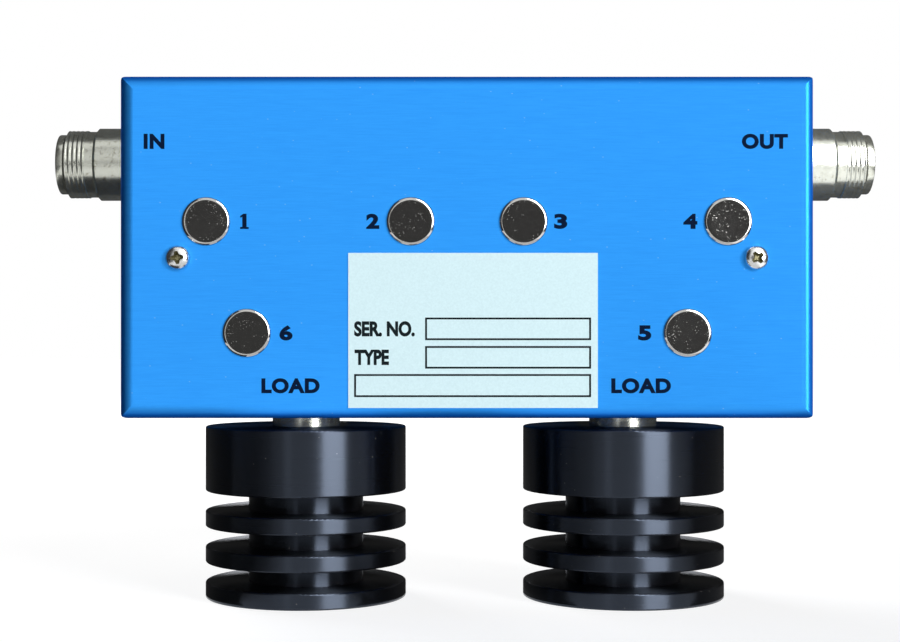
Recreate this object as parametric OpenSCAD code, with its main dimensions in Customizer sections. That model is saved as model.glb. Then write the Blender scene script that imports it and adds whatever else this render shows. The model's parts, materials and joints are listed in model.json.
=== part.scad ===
// RF isolator with two ferrite junctions in one box: a milled tray and its lid under a folded
// cover, a coaxial port at each end, and a finned load screwed on below each junction.
// The front faces -Y and +Z is up. X = 0 is the middle of the box, Y = 0 holds the axes of the
// ports and loads, and Z = 0 is the flat end of the loads, on which the part stands.

/* [Cover] */
// Width of the folded cover
cover_w = 154.4; // [153:0.1:180]
// Height of the folded cover
cover_h = 76.2; // [75:0.1:100]
// Depth of the folded cover, front to back
cover_d = 50.8; // [50:0.1:70]
// Thickness of the cover's sheet
sheet_t = 1.6; // [1:0.1:2]
// Inner radius of the bends round the front face
bend_inner_r = 1.6; // [0.8:0.1:3]
// Radius of the cover's four upright corners
cover_corner_r = 1.5; // [0.5:0.1:3]
// Width of the open mitred seam at each corner
seam_w = 0.3; // [0.2:0.05:0.6]
// Gap between the cover and the tray inside it
cover_clear = 0.2; // [0.1:0.05:0.4]
// Gap round each connector where it leaves the cover
slot_clear = 0.4; // [0.2:0.1:1]

/* [Front] */
// Height of the upper row of tuning holes above the middle of the cover
tune_up = 5.6; // [3:0.1:7]
// Height of the lower pair of tuning holes below the middle of the cover
tune_down = 19.1; // [17:0.1:21]
// Distance of the outer tuning holes from the middle
tune_outer_x = 57.8; // [56.5:0.1:60]
// Distance of the inner tuning holes from the middle
tune_inner_x = 12.5; // [11:0.1:14]
// Distance of the lower tuning holes from the middle
tune_lower_x = 48.8; // [46:0.1:54]
// Diameter of a tuning hole
tune_hole_d = 9.5; // [9:0.1:9.8]
// Distance of each cover screw from the middle
cover_screw_x = 64; // [62.5:0.1:65.5]
// Height of the cover screws below the middle of the cover
cover_screw_down = 2.5; // [2:0.1:6]
// Width of the rating label
label_w = 55.2; // [30:0.1:80]
// Height of the rating label
label_h = 34.3; // [15:0.1:36]
// Thickness of the rating label
label_t = 0.25; // [0.1:0.05:0.5]
// Distance of the label's middle to the right of the cover's middle
label_x = 1.3; // [-3:0.1:3]
// Distance from the cover's lower edge to the label's lower edge
label_up = 2.4; // [1:0.1:3]

/* [Tuning plugs] */
// Diameter of a plug's head
plug_d = 10.8; // [10.6:0.1:12]
// Height of a plug's head above the cover
plug_h = 0.7; // [0.6:0.05:1.2]
// Thickness of the plug's pressed metal
plug_t = 0.35; // [0.25:0.05:0.4]
// Reach of the plug's spring fingers behind the sheet
plug_reach = 2.6; // [2:0.1:2.8]
// Number of spring fingers round a plug
plug_fingers = 6; // [4:1:8]

/* [Tray and lid] */
// Thickness of the tray's side walls
wall_t = 6; // [5.5:0.1:6.5]
// Thickness of the tray's back
base_t = 6; // [5:0.1:8]
// Thickness of the web between the two cavities
web_t = 5; // [3:0.1:8]
// Corner radius of the milled cavities
cavity_r = 4; // [2:0.1:6]
// Thickness of the lid that carries the trimmers
lid_t = 3; // [2.5:0.1:3.4]
// Distance between the mounting holes across the back
mount_w = 127; // [100:0.1:130]
// Distance between the mounting holes up the back
mount_h = 50.8; // [40:0.1:56]
// Radius of the tapped mounting holes
mount_r = 2.1; // [1.5:0.05:2.5]
// Depth of the mounting holes
mount_depth = 4.6; // [3:0.1:4.8]

/* [Screws] */
// Shank diameter of the small screws
screw_d = 2.84; // [2.5:0.01:3]
// Head diameter of the pan-head screws
pan_d = 5.5; // [5:0.1:6]
// Head height of the pan-head screws
pan_h = 2; // [1.6:0.1:2.2]
// Length of the cover screws under the head
cover_screw_len = 6.4; // [5:0.1:6.6]
// Length of the lid screws under the head
lid_screw_len = 9; // [7:0.1:11]
// Length of the flange screws, with their flush heads
flange_screw_len = 5.4; // [4.5:0.1:5.6]
// Width across the flats of the hexagonal standoffs
standoff_af = 6.35; // [5.5:0.05:7]

/* [Ports] */
// Distance from the cover's top to the axis of the end ports
port_drop = 17.2; // [16.5:0.1:20]
// Reach of each end port beyond the cover
port_reach = 18.3; // [18:0.1:26]
// Diameter of the port's body beside the cover
port_body_d = 17; // [16.6:0.1:19]
// Major diameter of the coupling thread
thread_d = 15.875; // [15.5:0.005:16.2]
// Length of the coupling thread
thread_len = 4.4; // [3:0.1:6]
// Length of the plain relief behind the thread
relief_len = 2.1; // [1:0.1:3]
// Diameter of the plain relief behind the thread
relief_d = 15.5; // [14.5:0.1:15.5]
// Diameter of the plain lead-in at the tip
lead_d = 14; // [12:0.1:14.6]
// Length of the plain lead-in at the tip
lead_len = 1.6; // [1:0.1:3]
// Length of the cone between lead-in and thread
lead_cone = 0.7; // [0.5:0.1:1.5]
// Side of the square flange, which lies flush in the tray's wall
flange_w = 25.4; // [23.5:0.1:26.5]
// Thickness of the square flange
flange_t = 2.5; // [2.2:0.1:3]
// Distance between the flange screws
flange_pitch = 18.3; // [17:0.1:19]
// Diameter of the socket's mouth
mouth_d = 8.7; // [8.4:0.1:9.2]
// Depth of the socket's mouth
mouth_depth = 9.1; // [7:0.1:10]
// Inner diameter of the outer conductor
line_d = 7; // [6:0.1:7.6]
// Diameter of the centre contact
contact_d = 3.04; // [2.6:0.02:3.4]
// Distance from the tip back to the end of the centre contact
contact_recess = 4.7; // [4.5:0.1:6]
// Diameter of the hole in the centre contact
contact_bore_d = 1.68; // [1.4:0.02:2]
// Length of the contact's solder tail inside the tray
tail_len = 8; // [6:0.1:9]
// Diameter of the solder tail
tail_d = 2; // [1.6:0.1:2.6]

/* [Loads] */
// Distance of each load's axis from the middle
load_x = 37.5; // [36:0.1:40]
// Diameter of the load and its fins
load_d = 47.2; // [34:0.1:49]
// Length of a load
load_len = 40.2; // [36:0.1:60]
// Gap between the load and the cover, where the neck shows
neck_gap = 2.7; // [1:0.1:8]
// Thickness of a cooling fin
fin_t = 3.8; // [2:0.1:4.2]
// Gap between two cooling fins
fin_gap = 4.55; // [3:0.05:4.9]
// Number of cooling fins below the solid head
fin_count = 3; // [2:1:4]
// Diameter of the core that carries the fins
core_d = 27; // [20:0.1:30]
// Radius of the turned edges
fin_edge_r = 0.4; // [0.2:0.05:0.8]
// Depth to which the port's barrel screws into the load
load_seat = 10.5; // [10:0.1:13]
// Diameter of the bore that holds the resistor
load_bore_d = 10; // [8:0.1:12]
// Thickness of metal left below the resistor
load_floor = 8; // [6:0.1:9]
// Diameter of the load's resistor
resistor_d = 5; // [4:0.1:7]

/* [Junctions] */
// Distance of each junction from the middle
junction_x = 36; // [35.5:0.1:36.5]
// Thickness of the centre conductor
conductor_t = 0.5; // [0.3:0.05:0.8]
// Width of the conductor's arms
arm_w = 4; // [3:0.1:4.6]
// Diameter of the ferrite discs
ferrite_d = 30; // [26:0.1:32]
// Thickness of a ferrite disc
ferrite_t = 4; // [3:0.1:5]
// Diameter of the pole pieces
pole_d = 32; // [28:0.1:34]
// Thickness of a pole piece
pole_t = 1; // [0.5:0.1:1.5]
// Diameter of the magnets
magnet_d = 34; // [30:0.1:35]
// Thickness of a magnet
magnet_t = 7; // [5:0.1:7.2]
// Diameter of the return plates
yoke_d = 35; // [32:0.1:35]
// Thickness of a return plate
yoke_t = 2; // [1.2:0.1:2.2]

/* [Trimmers] */
// Diameter of a trimmer's threaded bush
bush_d = 6.4; // [6:0.1:7]
// Width across the flats of the trimmer's hexagon
trimmer_af = 7.5; // [7:0.1:8.5]
// Height of the trimmer's hexagon
trimmer_hex_h = 1.4; // [1:0.1:1.6]
// Height of the slotted neck above the hexagon
trimmer_neck_h = 1; // [0.8:0.1:1.2]
// Diameter of the trimmer's tube
trimmer_tube_d = 6; // [5:0.1:6]
// Length of the trimmer's tube behind the lid
trimmer_tube_len = 11; // [8:0.1:12]

/* [Hidden] */
$fn = 96;
SIDES = [-1, 1];
fit_clear = 0.05;    // between pieces that are pressed, glued or screwed into each other
hole_clear = 0.18;   // round the shank of a screw that passes through
end_room = 0.3;      // beyond the end of a screw in its hole
cut = 1;             // how far a cutting shape runs past what it cuts

bend_r = bend_inner_r + sheet_t;
front_y = -cover_d / 2;
back_y = cover_d / 2;
cover_z = load_len + neck_gap;
middle_z = cover_z + cover_h / 2;
port_z = cover_z + cover_h - port_drop;

tray_inset = sheet_t + cover_clear;
tray_w = cover_w - 2 * tray_inset;
tray_h = cover_h - 2 * tray_inset;
tray_z = cover_z + tray_inset;
tray_corner_r = 1;
base_y = back_y - base_t;
cavity_w = (tray_w - 2 * wall_t - web_t) / 2;
cavity_x = (web_t + cavity_w) / 2;
window_w = 12;       // window in the web, for the strap between the junctions

ferrite_y = conductor_t / 2;
pole_y = ferrite_y + ferrite_t;
magnet_y = pole_y + pole_t;
yoke_y = magnet_y + magnet_t;
stack_y = yoke_y + yoke_t;
lid_y = -stack_y - lid_t;
pedestal_rim = 0.5;  // how far a pedestal stands out round the stack on it
pedestal_d = yoke_d + 2 * pedestal_rim;

tune_z = middle_z + tune_up;
tune_low_z = middle_z - tune_down;
TUNING = [
    [-tune_outer_x, tune_z], [-tune_inner_x, tune_z], [tune_inner_x, tune_z],
    [tune_outer_x, tune_z], [tune_lower_x, tune_low_z], [-tune_lower_x, tune_low_z]
];
cover_screw_z = middle_z - cover_screw_down;
clear_hole_d = screw_d + 2 * hole_clear;
tapped_hole_d = screw_d + 2 * fit_clear;
lid_row_inset = wall_t / 2;
lid_row_x = 66;      // outer lid screws, clear of the ports' flanges
LID_SCREWS = [
    for (z = [tray_z + lid_row_inset, tray_z + tray_h - lid_row_inset])
        for (step = [-1, -1/3, 1/3, 1]) [step * lid_row_x, z]
];

port_len = tray_inset + port_reach;
load_port_len = tray_z - (load_len - load_seat);
// Each port: the place and turn of its axis on the tray's outer wall, and its length from there
PORTS = [
    [[-tray_w / 2, 0, port_z], [0, -90, 0], port_len],
    [[tray_w / 2, 0, port_z], [0, 90, 0], port_len],
    [[-load_x, 0, tray_z], [180, 0, 0], load_port_len],
    [[load_x, 0, tray_z], [180, 0, 0], load_port_len]
];
spigot_wall = 2;     // round the line, where a port passes through the tray's wall
spigot_d = line_d + 2 * spigot_wall;
slot_len = 4;       // solder slot in each contact's tail
arm_end_clear = 0.5;
pad_rim = 0.5;       // how far a round soldering pad stands out beside its strip
pad_d = arm_w + 2 * pad_rim;
tab_w = 3;
tab_pad_d = tab_w + 2 * pad_rim;
// Distance from the tray's outer wall to the middle of the round pad at an arm's end
arm_start = wall_t + tail_len - slot_len + arm_end_clear + pad_d / 2;
junction_z = tune_z;
strap_x = 2 * junction_x - (tray_w / 2 - arm_start);

load_pitch = fin_t + fin_gap;
head_z = fin_count * load_pitch;
seat_z = load_len - load_seat;
bead_t = 3;
resistor_len = seat_z - bead_t - load_floor;
pin_d = contact_bore_d - 2 * fit_clear;
pin_grip = 4;        // how far the load's pin enters the port's contact
pin_reach = contact_recess + pin_grip;

// A drawing in X and Z, made as thick as the space between two depths
module slab(y0, y1) {
    translate([0, y1, 0]) rotate([90, 0, 0]) linear_extrude(y1 - y0) children();
}

// A round bar or hole from front to back
module rod_y(x, z, y0, y1, d) {
    translate([x, y1, z]) rotate([90, 0, 0]) cylinder(h = y1 - y0, d = d);
}

// A rectangle about the origin with round corners
module round_rect(w, h, r) {
    square([w - 2 * r, h], center = true);
    square([w, h - 2 * r], center = true);
    for (sx = SIDES, sz = SIDES) translate([sx * (w / 2 - r), sz * (h / 2 - r)]) circle(r);
}

// Half of a turned disc's section, from the axis out to a rim with round edges
module rim(d, t, r) {
    square([d / 2 - r, t]);
    translate([0, r]) square([d / 2, t - 2 * r]);
    for (y = [r, t - r]) translate([d / 2 - r, y]) circle(r);
}

// Half of a turned head's section, with a round edge at the top only
module dome(d, h, r) {
    square([d / 2 - r, h]);
    square([d / 2, h - r]);
    intersection() {
        translate([d / 2 - r, h - r]) circle(r);
        square([d / 2, h]);
    }
}

// A rectangle whose two corners at the left are round, as a sheet bent back at both ends
module bent_section(depth, w, r) {
    translate([r, 0]) square([depth - r, w]);
    translate([0, r]) square([depth, w - 2 * r]);
    for (y = [r, w - r]) translate([r, y]) circle(r);
}

// The space that the cover fills before it is hollowed, or its inside
module cover_block(inset, bend, depth) {
    w = cover_w - 2 * inset;
    h = cover_h - 2 * inset;
    intersection() {
        translate([-w / 2, front_y + inset, middle_z - h / 2])
            rotate([90, 0, 90]) linear_extrude(w) bent_section(depth, h, bend);
        translate([0, front_y + inset, middle_z - h / 2]) linear_extrude(h)
            rotate(90) translate([0, -w / 2]) bent_section(depth, w, bend);
    }
}

// Places a part of a port on the tray's wall, with the port's axis along +Z
module at_port(i) {
    translate(PORTS[i][0]) rotate(PORTS[i][1]) children();
}

module flange_corners() {
    for (sx = SIDES, sy = SIDES)
        translate([sx * flange_pitch / 2, sy * flange_pitch / 2, 0]) children();
}

module flange_screw() {
    head_h = (pan_d - screw_d) / 2;
    translate([0, 0, -head_h]) cylinder(h = head_h, d1 = screw_d, d2 = pan_d);
    translate([0, 0, -flange_screw_len]) cylinder(h = flange_screw_len - head_h, d = screw_d);
}

// The countersunk hole that a flange screw passes through
module flange_hole() {
    wide = pan_d + 2 * fit_clear;
    cone_h = (wide - clear_hole_d) / 2;
    translate([0, 0, -cone_h]) cylinder(h = cone_h, d1 = clear_hole_d, d2 = wide);
    translate([0, 0, -flange_t - cut]) cylinder(h = flange_t + cut, d = clear_hole_d);
}

// A pan-head screw with its head above Z = 0 and a crossed recess in the head
module pan_screw(shank_len) {
    edge_r = pan_h * 0.6;
    recess_span = pan_d * 0.55;
    recess_w = 0.8;
    recess_depth = pan_h * 0.6;
    difference() {
        union() {
            rotate_extrude() dome(pan_d, pan_h, edge_r);
            translate([0, 0, -shank_len]) cylinder(h = shank_len, d = screw_d);
        }
        for (turn = [0, 90]) rotate(turn)
            translate([0, 0, pan_h]) cube([recess_span, recess_w, 2 * recess_depth], center = true);
    }
}

// A flat strip between two points, with a round pad at its far end
module strip(a, b, w, pad) {
    d = b - a;
    translate(a) rotate(atan2(d[1], d[0])) translate([0, -w / 2]) square([norm(d), w]);
    translate(b) circle(d = pad);
}

module cover() {
    color("dodgerblue") difference() {
        intersection() {
            cover_block(0, bend_r, cover_d);
            slab(front_y, back_y) translate([0, middle_z])
                round_rect(cover_w, cover_h, cover_corner_r);
        }
        cover_block(sheet_t, bend_inner_r, cover_d);
        for (p = TUNING) rod_y(p[0], p[1], front_y - cut, front_y + sheet_t + cut, tune_hole_d);
        for (side = SIDES)
            rod_y(side * cover_screw_x, cover_screw_z, front_y - cut, front_y + sheet_t + cut,
                clear_hole_d);
        port_slots();
        corner_seams();
    }
}

// Slots that let the cover slide back over the ports, open to the rear
module port_slots() {
    end_w = port_body_d + 2 * slot_clear;
    load_w = thread_d + 2 * slot_clear;
    span = cover_w + 2 * cut;
    translate([-span / 2, 0, port_z]) rotate([0, 90, 0]) cylinder(h = span, d = end_w);
    translate([-span / 2, 0, port_z - end_w / 2]) cube([span, cover_d, end_w]);
    for (side = SIDES) translate([side * load_x, 0, cover_z - cut]) {
        cylinder(h = sheet_t + 2 * cut, d = load_w);
        translate([-load_w / 2, 0, 0]) cube([load_w, cover_d, sheet_t + 2 * cut]);
    }
}

// The mitred seams where neighbouring flanges meet, from the bend to the rear
module corner_seams() {
    depth = cover_d - 2 * bend_r;
    reach = 3 * (sheet_t + cover_corner_r);
    for (sx = SIDES, sz = SIDES)
        translate([sx * cover_w / 2, back_y + cut - depth / 2, middle_z + sz * cover_h / 2])
            rotate([0, sx * sz * 45, 0]) cube([seam_w, depth + 2 * cut, reach], center = true);
}

module rating_label() {
    color("lightcyan") slab(front_y - label_t, front_y)
        translate([label_x, cover_z + label_up + label_h / 2])
            square([label_w, label_h], center = true);
}

module cover_screws() {
    color("silver") for (side = SIDES)
        translate([side * cover_screw_x, front_y, cover_screw_z]) rotate([90, 0, 0])
            pan_screw(cover_screw_len);
}

// Hexagonal standoffs on the lid, which hold the front of the cover
module cover_standoffs() {
    inner_y = front_y + sheet_t;
    height = lid_y - inner_y;
    stud_len = lid_t - end_room;
    screw_hole = cover_screw_len - sheet_t + end_room;
    color("gainsboro") for (side = SIDES)
        translate([side * cover_screw_x, lid_y, cover_screw_z]) rotate([90, 0, 0]) difference() {
            union() {
                cylinder(h = height, d = standoff_af / cos(30), $fn = 6);
                translate([0, 0, -stud_len]) cylinder(h = stud_len, d = screw_d);
            }
            translate([0, 0, height - screw_hole]) cylinder(h = screw_hole + cut, d = tapped_hole_d);
        }
}

module lid() {
    color("lightgray") difference() {
        slab(lid_y, -stack_y) translate([0, middle_z]) round_rect(tray_w, tray_h, tray_corner_r);
        for (p = TUNING) rod_y(p[0], p[1], lid_y - cut, -stack_y + cut, bush_d + 2 * fit_clear);
        for (p = LID_SCREWS) rod_y(p[0], p[1], lid_y - cut, -stack_y + cut, clear_hole_d);
        for (side = SIDES)
            rod_y(side * cover_screw_x, cover_screw_z, lid_y - cut, -stack_y + cut, tapped_hole_d);
    }
}

module lid_screws() {
    color("silver") for (p = LID_SCREWS)
        translate([p[0], lid_y, p[1]]) rotate([90, 0, 0]) pan_screw(lid_screw_len);
}

module tray() {
    lid_hole_depth = lid_screw_len - lid_t + end_room;
    color("lightgray") difference() {
        union() {
            difference() {
                slab(-stack_y, back_y) translate([0, middle_z])
                    round_rect(tray_w, tray_h, tray_corner_r);
                for (side = SIDES) slab(-stack_y - cut, base_y)
                    translate([side * cavity_x, middle_z])
                        round_rect(cavity_w, tray_h - 2 * wall_t, cavity_r);
            }
            for (side = SIDES) rod_y(side * junction_x, junction_z, stack_y, base_y, pedestal_d);
        }
        translate([0, 0, port_z]) cube([web_t + 2 * cut, window_w, window_w], center = true);
        for (p = LID_SCREWS) rod_y(p[0], p[1], -stack_y - cut, -stack_y + lid_hole_depth, tapped_hole_d);
        for (sx = SIDES, sz = SIDES)
            rod_y(sx * mount_w / 2, middle_z + sz * mount_h / 2, back_y - mount_depth, back_y + cut,
                2 * mount_r);
        for (i = [0:3]) at_port(i) flange_seat();
    }
}

// What is cut from the tray's wall for one port
module flange_seat() {
    w = flange_w + 2 * fit_clear;
    translate([-w / 2, -w / 2, -flange_t]) cube([w, w, flange_t + cut]);
    translate([0, 0, -wall_t - cut]) cylinder(h = wall_t + cut, d = spigot_d + 2 * fit_clear);
    flange_corners() translate([0, 0, -wall_t - cut]) cylinder(h = wall_t + cut, d = tapped_hole_d);
}

module flange_screws() {
    color("silver") for (i = [0:3]) at_port(i) flange_corners() flange_screw();
}

// Outside of the end ports, from the flange to the tip
module end_port_outline() {
    tip = port_len;
    thread_end = tip - lead_len - lead_cone;
    body_end = thread_end - thread_len - relief_len;
    body_cone = 0.7;
    thread_chamfer = 0.3;
    cylinder(h = body_end - body_cone, d = port_body_d);
    translate([0, 0, body_end - body_cone])
        cylinder(h = body_cone, d1 = port_body_d, d2 = relief_d);
    cylinder(h = thread_end - thread_len, d = relief_d);
    translate([0, 0, thread_end - thread_len]) cylinder(h = thread_len, d = thread_d);
    translate([0, 0, thread_end])
        cylinder(h = lead_cone, d1 = thread_d - 2 * thread_chamfer, d2 = lead_d);
    cylinder(h = tip, d = lead_d);
}

// A port's metal shell: square flange, spigot through the wall, and a hollow threaded nose
module port_shell(i) {
    len = PORTS[i][2];
    color("silver") at_port(i) difference() {
        union() {
            translate([-flange_w / 2, -flange_w / 2, -flange_t]) cube([flange_w, flange_w, flange_t]);
            translate([0, 0, -wall_t]) cylinder(h = wall_t, d = spigot_d);
            if (i < 2) end_port_outline();
            else cylinder(h = len, d = thread_d);
        }
        translate([0, 0, -wall_t - cut]) cylinder(h = len + wall_t + 2 * cut, d = line_d);
        translate([0, 0, len - mouth_depth]) cylinder(h = mouth_depth + cut, d = mouth_d);
        flange_corners() flange_hole();
    }
}

module port_insulator(i) {
    len = PORTS[i][2] - mouth_depth + wall_t;
    color("white") at_port(i) translate([0, 0, -wall_t]) difference() {
        cylinder(h = len, d = line_d - 2 * fit_clear);
        translate([0, 0, -cut]) cylinder(h = len + 2 * cut, d = contact_d + 2 * fit_clear);
    }
}

// A port's centre contact: a slit socket at the front and a slotted solder tail in the tray
module port_contact(i) {
    tip = PORTS[i][2] - contact_recess;
    bore_len = 5.5;
    slit_len = 4;
    slit_w = 0.3;
    color("gold") at_port(i) difference() {
        union() {
            translate([0, 0, -wall_t]) cylinder(h = tip + wall_t, d = contact_d);
            translate([0, 0, -wall_t - tail_len]) cylinder(h = tail_len, d = tail_d);
        }
        translate([0, 0, tip - bore_len]) cylinder(h = bore_len + cut, d = contact_bore_d);
        for (turn = [45, 135]) rotate(turn) translate([0, 0, tip - slit_len / 2 + cut / 2])
            cube([contact_d + cut, slit_w, slit_len + cut], center = true);
        translate([0, 0, -wall_t - tail_len + slot_len / 2 - cut / 2])
            cube([tail_d + cut, conductor_t + 2 * fit_clear, slot_len + cut], center = true);
    }
}

// A snap-in plug over a tuning hole: a dished head, and a skirt cut into spring fingers
module tuning_plug(i) {
    p = TUNING[i];
    skirt_d = tune_hole_d - 2 * fit_clear;
    inside_d = skirt_d - 2 * plug_t;
    reach = sheet_t + plug_reach;
    bead_r = 0.3;
    slit_w = 1;
    color("dimgray") translate([p[0], front_y, p[1]]) rotate([90, 0, 0]) difference() {
        union() {
            rotate_extrude() dome(plug_d, plug_h, plug_h * 0.95);
            translate([0, 0, -reach]) cylinder(h = reach, d = skirt_d);
            rotate_extrude() translate([skirt_d / 2, -sheet_t - 2 * bead_r]) circle(bead_r);
        }
        translate([0, 0, -reach - cut]) cylinder(h = reach + cut + plug_h - plug_t, d = inside_d);
        for (k = [0:plug_fingers - 1]) rotate(k * 360 / plug_fingers)
            translate([0, -slit_w / 2, -reach - cut])
                cube([plug_d, slit_w, plug_reach + sheet_t / 2 + cut]);
    }
}

// A piston trimmer screwed into the lid, with a terminal on the conductor's tab
module trimmer(i) {
    p = TUNING[i];
    neck_d = 4.8;
    terminal_d = 1.6;
    driver_slot = 0.6;
    driver_depth = 0.8;
    top = trimmer_hex_h + trimmer_neck_h;
    tube_end = -lid_t - trimmer_tube_len;
    color("goldenrod") translate([p[0], lid_y, p[1]]) rotate([90, 0, 0]) difference() {
        union() {
            cylinder(h = top, d = neck_d);
            cylinder(h = trimmer_hex_h, d = trimmer_af / cos(30), $fn = 6);
            translate([0, 0, -lid_t]) cylinder(h = lid_t, d = bush_d);
            translate([0, 0, tube_end]) cylinder(h = trimmer_tube_len, d = trimmer_tube_d);
            translate([0, 0, lid_y + conductor_t / 2])
                cylinder(h = tube_end - lid_y - conductor_t / 2, d = terminal_d);
        }
        translate([-neck_d, -driver_slot / 2, top - driver_depth])
            cube([2 * neck_d, driver_slot, driver_depth + cut]);
    }
}

// A junction's flat conductor: a hub, three arms, and a tab from each arm to its trimmer
module junction_conductor(side) {
    hub_d = 18;
    hub = [side * junction_x, junction_z];
    outer = [side * (tray_w / 2 - arm_start), port_z];
    inner = [side * strap_x, port_z];
    lower = [side * load_x, tray_z + arm_start];
    color("darkorange") slab(-conductor_t / 2, conductor_t / 2) {
        translate(hub) circle(d = hub_d);
        for (end = [outer, inner, lower]) strip(hub, end, arm_w, pad_d);
        strip(outer, [side * tune_outer_x, tune_z], tab_w, tab_pad_d);
        strip(inner, [side * tune_inner_x, tune_z], tab_w, tab_pad_d);
        strip([side * load_x, tune_low_z], [side * tune_lower_x, tune_low_z], tab_w, tab_pad_d);
    }
}

// One disc of a junction's stack, in front of the conductor (-1) or behind it (1)
module stack_disc(side, end, y, t, d, tint) {
    near = end < 0 ? -y - t : y;
    color(tint) rod_y(side * junction_x, junction_z, near, near + t, d);
}

module link_strap() {
    color("darkorange") slab(-conductor_t / 2 - conductor_t, -conductor_t / 2) {
        strip([0, port_z], [-strap_x, port_z], arm_w, pad_d);
        strip([0, port_z], [strap_x, port_z], arm_w, pad_d);
    }
}

// A load turned from one bar: a solid head above, cooling fins round a core below
module load_body(side) {
    barrel_d = thread_d + 4 * fit_clear;
    rest_d = load_bore_d + 2 * fit_clear;
    color("#1c1c20") translate([side * load_x, 0, 0]) difference() {
        union() {
            cylinder(h = head_z, d = core_d);
            for (k = [0:fin_count - 1]) translate([0, 0, k * load_pitch])
                rotate_extrude() rim(load_d, fin_t, fin_edge_r);
            translate([0, 0, head_z]) rotate_extrude() rim(load_d, load_len - head_z, fin_edge_r);
        }
        translate([0, 0, seat_z]) cylinder(h = load_seat + cut, d = barrel_d);
        translate([0, 0, load_floor]) cylinder(h = load_len, d = rest_d);
    }
}

module load_bead(side) {
    color("white") translate([side * load_x, 0, seat_z - bead_t]) difference() {
        cylinder(h = bead_t, d = load_bore_d);
        translate([0, 0, -cut]) cylinder(h = bead_t + 2 * cut, d = contact_d + 2 * fit_clear);
    }
}

module load_pin(side) {
    color("gold") translate([side * load_x, 0, seat_z - bead_t]) {
        cylinder(h = bead_t, d = contact_d);
        cylinder(h = bead_t + pin_reach, d = pin_d);
    }
}

module load_resistor(side) {
    color("lavender") translate([side * load_x, 0, load_floor])
        cylinder(h = resistor_len, d = resistor_d);
}

cover();
rating_label();
cover_screws();
cover_standoffs();
lid();
lid_screws();
tray();
flange_screws();
link_strap();
for (i = [0:5]) {
    tuning_plug(i);
    trimmer(i);
}
for (i = [0:3]) {
    port = ["in_port", "out_port", "load_port_a", "load_port_b"][i];
    port_shell(i);
    port_insulator(i);
    port_contact(i);
}
for (side = SIDES) {
    load = side < 0 ? "load_a" : "load_b";
    junction = side < 0 ? "junction_a" : "junction_b";
    load_body(side);
    load_bead(side);
    load_pin(side);
    load_resistor(side);
    junction_conductor(side);
    for (end = SIDES) {
        place = end < 0 ? "_front" : "_rear";
        stack_disc(side, end, ferrite_y, ferrite_t, ferrite_d, "dimgray");
        stack_disc(side, end, pole_y, pole_t, pole_d, "slategray");
        stack_disc(side, end, magnet_y, magnet_t, magnet_d, "darkslategray");
        stack_disc(side, end, yoke_y, yoke_t, yoke_d, "slategray");
    }
}
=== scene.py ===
"""RF isolator: finishes, port threads, plugs, screws, lettering and a studio round the frame."""
import json
import math

import bmesh
import bpy
from mathutils import Matrix, Vector

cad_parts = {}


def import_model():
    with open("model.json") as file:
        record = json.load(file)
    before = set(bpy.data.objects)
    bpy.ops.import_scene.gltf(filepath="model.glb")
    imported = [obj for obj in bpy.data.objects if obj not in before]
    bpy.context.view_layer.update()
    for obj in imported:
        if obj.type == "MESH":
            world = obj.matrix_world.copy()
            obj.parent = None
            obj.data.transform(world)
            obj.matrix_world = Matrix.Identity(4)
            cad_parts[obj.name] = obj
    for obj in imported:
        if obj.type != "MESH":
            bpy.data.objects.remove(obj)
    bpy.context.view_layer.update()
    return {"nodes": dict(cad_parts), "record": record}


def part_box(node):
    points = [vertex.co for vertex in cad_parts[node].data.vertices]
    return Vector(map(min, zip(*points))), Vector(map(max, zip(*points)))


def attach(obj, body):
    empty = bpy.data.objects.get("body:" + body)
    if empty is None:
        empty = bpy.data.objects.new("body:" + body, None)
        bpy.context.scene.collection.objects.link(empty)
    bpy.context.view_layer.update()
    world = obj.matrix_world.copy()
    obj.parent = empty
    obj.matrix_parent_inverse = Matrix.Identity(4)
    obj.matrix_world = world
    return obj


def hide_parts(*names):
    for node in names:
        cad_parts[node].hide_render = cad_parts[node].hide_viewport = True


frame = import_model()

MM = 0.001
scene = bpy.context.scene


# Places that the frame gives, in millimetres


def box_mm(node):
    """A node's lowest and highest corners."""
    return [[v / MM for v in corner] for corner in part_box(node)]


FRONT_Y = box_mm("cover")[0][1]
TRAY_WALL = box_mm("tray")[1][0]
LABEL_LO, LABEL_HI = box_mm("rating_label")
PORT_Z = sum(corner[2] for corner in box_mm("in_port_contact")) / 2
PORT_TIP = box_mm("out_port_shell")[1][0] - TRAY_WALL
BACK_BOLTS = next(m for m in frame["record"]["mounts"] if m["name"] == "back_bolts")

# In millimetres: how far from its axis a turned shape stops, short overlaps and steps, how far a
# cutter reaches past what it cuts, and how near points are merged
AXIS_R = 0.001
NUDGE = 0.01
CUTTER_SPARE = 1
WELD = 0.001

# Coaxial ports, in millimetres outwards from the tray's wall
PORT_BODY_D = 17.0
BODY_CONE = 0.7
RELIEF_D = 15.5
RELIEF_LEN = 2.1
THREAD_D = 15.875
THREAD_ROOT_D = 15.7
THREAD_PITCH = 25.4 / 24
THREAD_LEN = 4.4
THREAD_ROWS = 66
# Shares of the pitch: a groove's width, and the length over which it runs out at either end
GROOVE_SHARE = 0.8
GROOVE_FADE = 0.3
LEAD_D = 14.0
LEAD_LEN = 1.6
LEAD_CONE = 0.7
LEAD_STEP = 0.3
LIP_EDGE = 0.25
LIP_ROUND = 0.3
MOUTH_D = 8.7
MOUTH_DEPTH = 9.1
LINE_D = 7.0
SPIGOT_D = 11.0
SPIGOT_OVERLAP = 0.5
TRAY_WALL_T = 6.0
FLANGE_W = 25.4
FLANGE_T = 2.5
FLANGE_CORNER = 0.8
FLANGE_PITCH = 18.3
FLANGE_HOLE_D = 3.2
FLANGE_SINK_D = 5.6
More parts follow.
